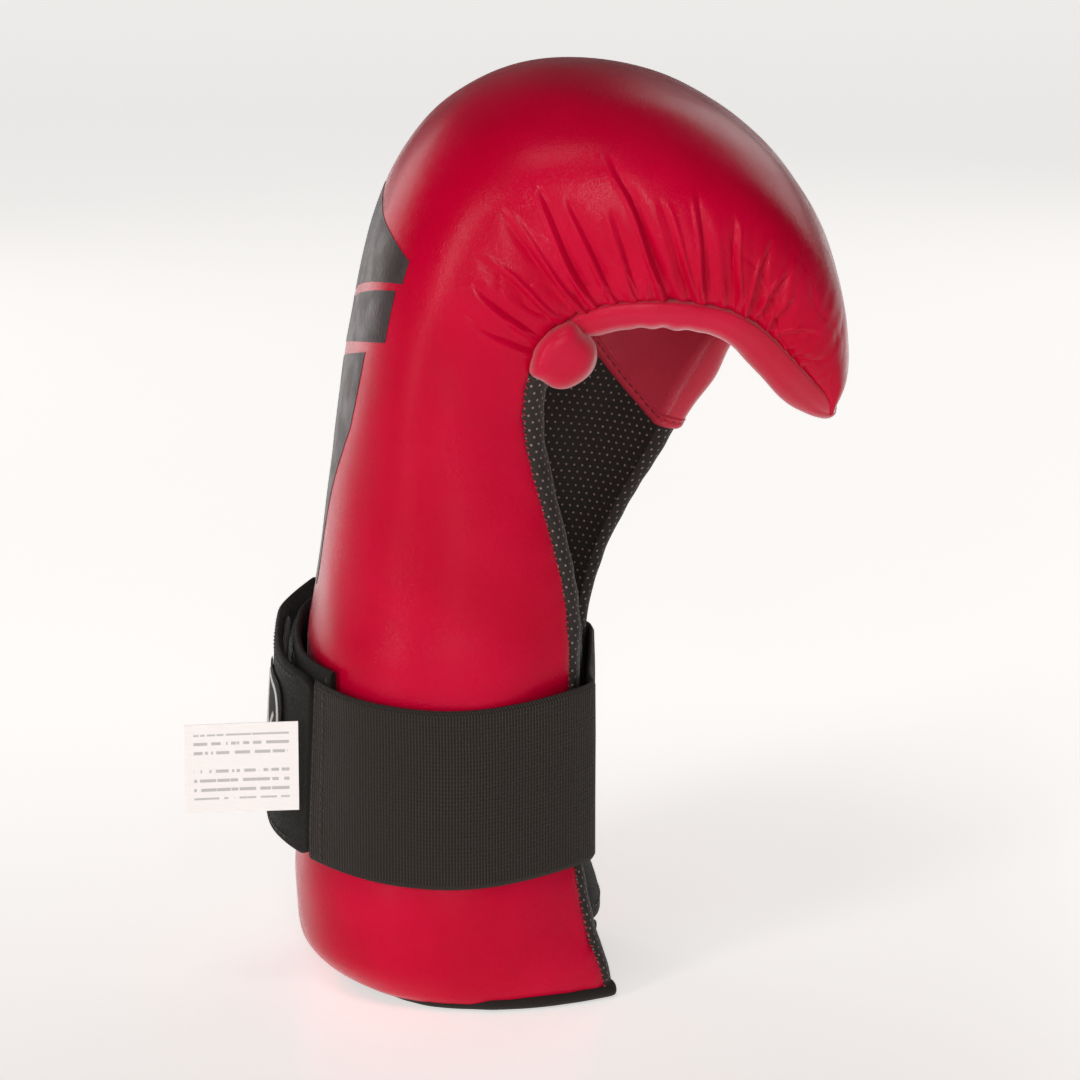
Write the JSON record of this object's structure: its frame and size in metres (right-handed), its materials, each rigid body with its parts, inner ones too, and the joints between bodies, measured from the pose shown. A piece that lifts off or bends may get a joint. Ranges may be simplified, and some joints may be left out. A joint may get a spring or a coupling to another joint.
{
  "type": "sparring glove with forearm cuff",
  "caption": "Open-palm padded sparring glove with a long forearm cuff, gathered finger hood, thumb pocket, mesh lining and a hook-and-loop elastic wrist strap.",
  "frame": {"origin": "middle of the bounding box, on the plane that the cuff hem stands on", "axes": "+Z from the cuff up to the knuckles, +X towards the palm and fingertips, -X the back of the hand, +Y the thumb side"},
  "size_m": [0.1809, 0.1243, 0.2583],
  "materials": {
    "red_leather": "fine-grained synthetic leather, semi-gloss",
    "foam": "closed-cell foam, matte",
    "mesh": "perforated knit mesh",
    "elastic": "ribbed woven elastic",
    "black_fabric": "soft woven fabric over thin padding",
    "hook_and_loop": "hook-and-loop tape",
    "print_film": "satin printed film",
    "patch": "moulded patch with pale lines",
    "label": "white satin label cloth"
  },
  "bodies": {
    "glove": {"outer_cover": "red_leather", "impact_foam": "foam", "comfort_foam": "foam", "mesh_lining": "mesh", "finger_facing": "red_leather", "near_edge_binding": "mesh", "far_edge_binding": "mesh", "roll_end_cap": "red_leather", "finger_roll_near": "red_leather", "finger_roll_far": "red_leather", "thumb_pocket": "red_leather", "finger_strap": "elastic", "cuff_hem": "black_fabric", "back_print": "print_film", "landing_band": "black_fabric", "loop_pad": "hook_and_loop", "strap_anchor": "elastic"},
    "palm_closure": {"palm_flap": "black_fabric", "elastic_palm": "elastic"},
    "strap_side": {"elastic_side": "elastic"},
    "strap_tab": {"strap_tab": "black_fabric", "hook_pad": "hook_and_loop", "strap_patch": "patch"},
    "care_label_body": {"care_label": "label"}
  },
  "joints": [
    {"name": "palm_swing", "type": "hinge", "parent": "glove", "child": "palm_closure", "pos_m": [0.01748, 0.03985, 0.0665], "axis": [0, 0, 1], "range_deg": [0, 36]},
    {"name": "strap_swing", "type": "hinge", "parent": "palm_closure", "child": "strap_side", "pos_m": [0.01749, -0.04164, 0.067], "axis": [0, 0, 1], "range_deg": [0, 100]},
    {"name": "tab_peel", "type": "hinge", "parent": "strap_side", "child": "strap_tab", "pos_m": [-0.05847, -0.04095, 0.068], "axis": [0, 0, 1], "range_deg": [0, 95]},
    {"name": "label_swing", "type": "hinge", "parent": "strap_tab", "child": "care_label_body", "pos_m": [-0.0589, -0.04075, 0.0685], "axis": [0, 0, 1], "range_deg": [-15, 25]}
  ],
  "couplings": [
    {"joint": "palm_swing", "follows": "strap_swing", "ratio": 0.35}
  ]
}
